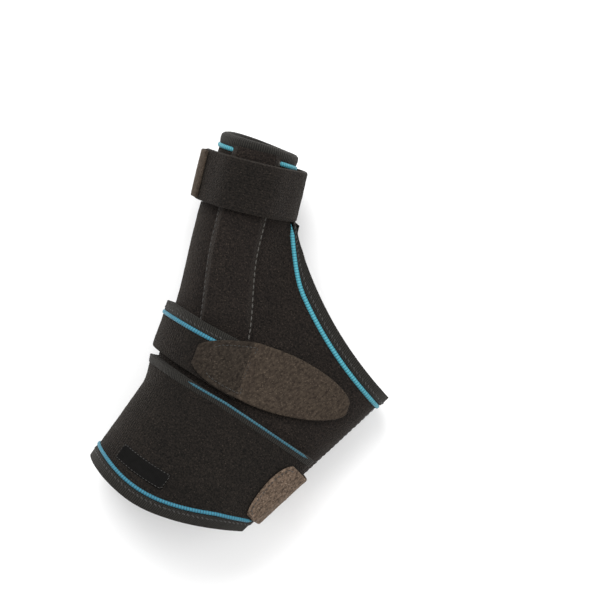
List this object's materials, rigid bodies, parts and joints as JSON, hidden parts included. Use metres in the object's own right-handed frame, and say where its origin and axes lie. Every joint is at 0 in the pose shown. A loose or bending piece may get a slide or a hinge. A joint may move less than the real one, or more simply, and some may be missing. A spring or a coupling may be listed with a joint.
{
  "type": "wrist splint",
  "caption": "Right-hand thumb and wrist splint: foam shell with thumb sleeve, stay pocket, wrist wrap and hook-and-loop straps, blue piping.",
  "frame": {"origin": "centre of the bounding box, on the surface the palm side lies on", "axes": "+Y along the forearm towards the fingers, +X towards the little finger, +Z out of the back of the hand"},
  "size_m": [0.1407, 0.1508, 0.0578],
  "materials": {
    "foam": "charcoal loop-faced foam laminate",
    "pocket": "charcoal loop fabric, sewn flat",
    "lining": "smooth terry lining",
    "binding": "elastic binding tape, dark grey",
    "piping": "cyan-blue elastic piping",
    "stitch": "grey sewing thread",
    "tab": "brushed taupe hook-tab felt",
    "hook": "moulded hook tape",
    "label": "black woven label, blank",
    "stay": "bare aluminium strip"
  },
  "bodies": {
    "brace": {"dorsal_panel": "foam", "palmar_panel": "foam", "lining": "lining", "thumb_sleeve": "foam", "thumb_seam_tape": "binding", "thumb_binding": "binding", "thumb_piping": "piping", "ulnar_seam": "stitch", "hand_rim_binding": "binding", "hand_rim_piping": "piping", "palm_cuff_binding": "binding", "palm_cuff_piping": "piping", "stay_pocket": "pocket", "pocket_stitching": "stitch", "wrap_root": "foam", "wrap_root_binding": "binding", "wrap_root_piping": "piping", "strap_root": "foam", "strap_root_binding": "binding", "strap_root_piping": "piping", "thumb_strap_root": "foam"},
    "stay": {"stay": "stay"},
    "wrist_flap": {"wrap_flap": "foam", "wrap_cuff_binding": "binding", "wrap_cuff_piping": "piping", "wrap_edge_binding": "binding", "wrap_edge_piping": "piping", "size_label": "label", "wrist_tab_root": "tab"},
    "wrist_tab": {"wrist_tab": "tab", "wrist_hook_pad": "hook"},
    "thumb_root_strap": {"strap": "foam", "strap_binding": "binding", "strap_piping": "piping", "strap_tab_root": "tab"},
    "strap_tab": {"strap_tab": "tab", "strap_hook_pad": "hook"},
    "thumb_band": {"thumb_strap": "foam", "thumb_tab_root": "tab"},
    "thumb_tab": {"thumb_tab": "tab", "thumb_hook_pad": "hook"}
  },
  "joints": [
    {"name": "wrist_flap_lift", "type": "hinge", "parent": "brace", "child": "wrist_flap", "pos_m": [0.0048, -0.0482, 0.0496], "axis": [0.181, -0.9834, 0.012], "range_deg": [0, 75]},
    {"name": "wrist_tab_peel", "type": "hinge", "parent": "wrist_flap", "child": "wrist_tab", "pos_m": [0.06426, -0.02378, 0.04307], "axis": [0.1146, -0.991, 0.0691], "range_deg": [0, 100]},
    {"name": "strap_lift", "type": "hinge", "parent": "brace", "child": "thumb_root_strap", "pos_m": [-0.0104, -0.00879, 0.0508], "axis": [0.299, -0.9542, 0], "range_deg": [0, 85]},
    {"name": "strap_tab_peel", "type": "hinge", "parent": "thumb_root_strap", "child": "strap_tab", "pos_m": [0.0169, 0.00118, 0.0511], "axis": [0.515, -0.8572, 0], "range_deg": [0, 110]},
    {"name": "thumb_band_lift", "type": "hinge", "parent": "brace", "child": "thumb_band", "pos_m": [-0.03126, 0.05977, 0.04498], "axis": [-0.604, 0.7928, 0.0817], "range_deg": [0, 70]},
    {"name": "thumb_tab_peel", "type": "hinge", "parent": "thumb_band", "child": "thumb_tab", "pos_m": [-0.0635, 0.03643, 0.03324], "axis": [-0.604, 0.7928, 0.0817], "range_deg": [0, 90]},
    {"name": "stay_slide", "type": "slide", "parent": "brace", "child": "stay", "axis": [-0.606, 0.7955, 0], "range_m": [0, 0.06]}
  ]
}
